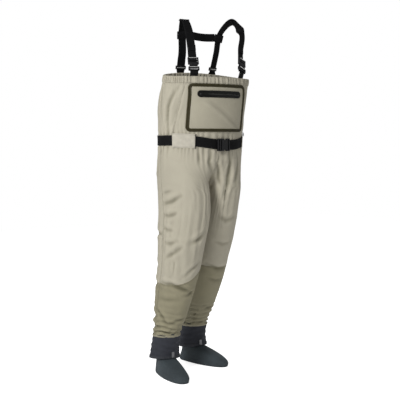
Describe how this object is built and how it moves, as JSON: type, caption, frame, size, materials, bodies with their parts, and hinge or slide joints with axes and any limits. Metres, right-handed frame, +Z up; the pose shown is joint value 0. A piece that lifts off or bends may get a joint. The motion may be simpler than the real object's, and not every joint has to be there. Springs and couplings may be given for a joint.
{
  "type": "chest waders",
  "caption": "Waterproof chest-high fishing waders with stocking feet, gravel guards, a wading belt, a zipped chest pocket and clip-on suspenders.",
  "frame": {"origin": "on the floor below the middle of the overall width and depth", "axes": "+Z up; the wearer faces -Y and the wearer's left side is +X"},
  "size_m": [0.438, 0.4984, 1.6045],
  "materials": {
    "light": "laminated woven shell fabric, matte",
    "dark": "heavier reinforced woven fabric, matte",
    "neoprene": "foam rubber with a knitted face, matte",
    "guard": "stretch knit over foam rubber, matte",
    "webbing": "ribbed woven webbing",
    "trim": "welded film trim",
    "plastic": "moulded plastic",
    "patch": "smooth woven patch",
    "metal": "bent metal",
    "elastic": "knitted elastic"
  },
  "bodies": {
    "waders_body": {"front_bib_panel": "light", "back_bib_panel": "light", "right_side_bib_panel": "light", "left_side_bib_panel": "light", "chest_hem": "light", "chest_elastic": "elastic", "right_front_hip_panel": "light", "right_back_hip_panel": "light", "left_front_hip_panel": "light", "left_back_hip_panel": "light", "belt_webbing": "webbing", "belt_patch": "patch", "left_belt_loop": "patch", "back_left_belt_loop": "patch", "back_right_belt_loop": "patch", "belt_buckle_socket": "plastic", "ring_tab": "webbing", "pocket_panel": "light", "pocket_trim": "trim", "zipper_tape": "trim", "zipper_teeth": "plastic", "right_front_strap_tab": "webbing", "left_front_strap_tab": "webbing", "right_rear_strap_tab": "webbing", "left_rear_strap_tab": "webbing", "right_front_buckle_socket": "plastic", "left_front_buckle_socket": "plastic"},
    "suspenders": {"right_shoulder_strap": "webbing", "left_shoulder_strap": "webbing", "cross_strap": "webbing", "right_yoke_sleeve": "webbing", "left_yoke_sleeve": "webbing"},
    "right_thigh": {"right_front_thigh_panel": "light", "right_back_thigh_panel": "light", "right_knee_panel": "dark"},
    "right_shin": {"right_lower_leg": "dark", "right_gravel_guard": "guard"},
    "right_foot": {"right_stocking_foot": "neoprene", "right_foot_sole": "neoprene", "right_foot_ankle": "neoprene"},
    "right_hook": {"right_guard_hook": "metal"},
    "right_strap_clip": {"right_front_buckle_clip": "plastic"},
    "right_rear_slider": {"right_rear_slider": "plastic"},
    "left_thigh": {"left_front_thigh_panel": "light", "left_back_thigh_panel": "light", "left_knee_panel": "dark"},
    "left_shin": {"left_lower_leg": "dark", "left_gravel_guard": "guard"},
    "left_foot": {"left_stocking_foot": "neoprene", "left_foot_sole": "neoprene", "left_foot_ankle": "neoprene"},
    "left_hook": {"left_guard_hook": "metal"},
    "left_strap_clip": {"left_front_buckle_clip": "plastic"},
    "left_rear_slider": {"left_rear_slider": "plastic"},
    "belt_clip": {"belt_buckle_clip": "plastic"},
    "zip_slider": {"zip_slider": "plastic"},
    "zip_pull": {"zip_pull": "trim"},
    "accessory_ring": {"accessory_ring": "metal"}
  },
  "joints": [
    {"name": "right_hip", "type": "hinge", "parent": "waders_body", "child": "right_thigh", "pos_m": [-0.105, -0.07047, 0.93], "axis": [-1, 0, 0], "range_deg": [0, 60], "deforming": ["right_front_hip_panel", "right_back_hip_panel"]},
    {"name": "right_knee", "type": "hinge", "parent": "right_thigh", "child": "right_shin", "pos_m": [-0.1093, -0.07242, 0.51], "axis": [1, 0, 0], "range_deg": [0, 60], "deforming": ["right_knee_panel"]},
    {"name": "right_ankle", "type": "hinge", "parent": "right_shin", "child": "right_foot", "pos_m": [-0.12604, 0.02834, 0.095], "axis": [0.9945, -0.1045, 0], "range_deg": [-8, 25], "deforming": ["right_foot_ankle", "right_gravel_guard"]},
    {"name": "right_hook_swing", "type": "hinge", "parent": "right_shin", "child": "right_hook", "pos_m": [-0.12584, -0.04552, 0.116], "axis": [-1, 0, 0], "range_deg": [0, 80]},
    {"name": "left_hip", "type": "hinge", "parent": "waders_body", "child": "left_thigh", "pos_m": [0.105, -0.07047, 0.93], "axis": [-1, 0, 0], "range_deg": [0, 60], "deforming": ["left_front_hip_panel", "left_back_hip_panel"]},
    {"name": "left_knee", "type": "hinge", "parent": "left_thigh", "child": "left_shin", "pos_m": [0.1093, 0.02905, 0.51], "axis": [1, 0, 0], "range_deg": [0, 60], "deforming": ["left_knee_panel"]},
    {"name": "left_ankle", "type": "hinge", "parent": "left_shin", "child": "left_foot", "pos_m": [0.12604, 0.17846, 0.095], "axis": [0.9563, 0.2924, 0], "range_deg": [-8, 25], "deforming": ["left_foot_ankle", "left_gravel_guard"]},
    {"name": "left_hook_swing", "type": "hinge", "parent": "left_shin", "child": "left_hook", "pos_m": [0.12584, 0.10421, 0.116], "axis": [-1, 0, 0], "range_deg": [0, 80]},
    {"name": "suspenders_drop", "type": "hinge", "parent": "waders_body", "child": "suspenders", "pos_m": [0, -0.03447, 1.334], "axis": [-1, 0, 0], "range_deg": [0, 70]},
    {"name": "right_buckle_release", "type": "slide", "parent": "suspenders", "child": "right_strap_clip", "axis": [0.1201, 0.3453, 0.9308], "range_m": [0, 0.03]},
    {"name": "right_slider_adjust", "type": "slide", "parent": "suspenders", "child": "right_rear_slider", "axis": [-0.0775, -0.2821, 0.9562], "range_m": [0, 0.009]},
    {"name": "left_buckle_release", "type": "slide", "parent": "suspenders", "child": "left_strap_clip", "axis": [0.2604, 0.3456, 0.9015], "range_m": [0, 0.03]},
    {"name": "left_slider_adjust", "type": "slide", "parent": "suspenders", "child": "left_rear_slider", "axis": [0.0528, -0.2807, 0.9583], "range_m": [0, 0.009]},
    {"name": "belt_buckle_release", "type": "slide", "parent": "waders_body", "child": "belt_clip", "axis": [-0.9998, -0.02, 0], "range_m": [0, 0.03]},
    {"name": "chest_zip", "type": "hinge", "parent": "waders_body", "child": "zip_slider", "pos_m": [0, 0.09646, 1.268], "axis": [0, 0, 1], "range_deg": [0, 31]},
    {"name": "zip_pull_flip", "type": "hinge", "parent": "zip_slider", "child": "zip_pull", "pos_m": [-0.09647, -0.24112, 1.268], "axis": [0, 0, -1], "range_deg": [0, 150]},
    {"name": "accessory_ring_swing", "type": "hinge", "parent": "waders_body", "child": "accessory_ring", "pos_m": [0.19496, -0.14153, 1.1017], "axis": [-0.5545, -0.8322, 0], "range_deg": [0, 90]}
  ]
}
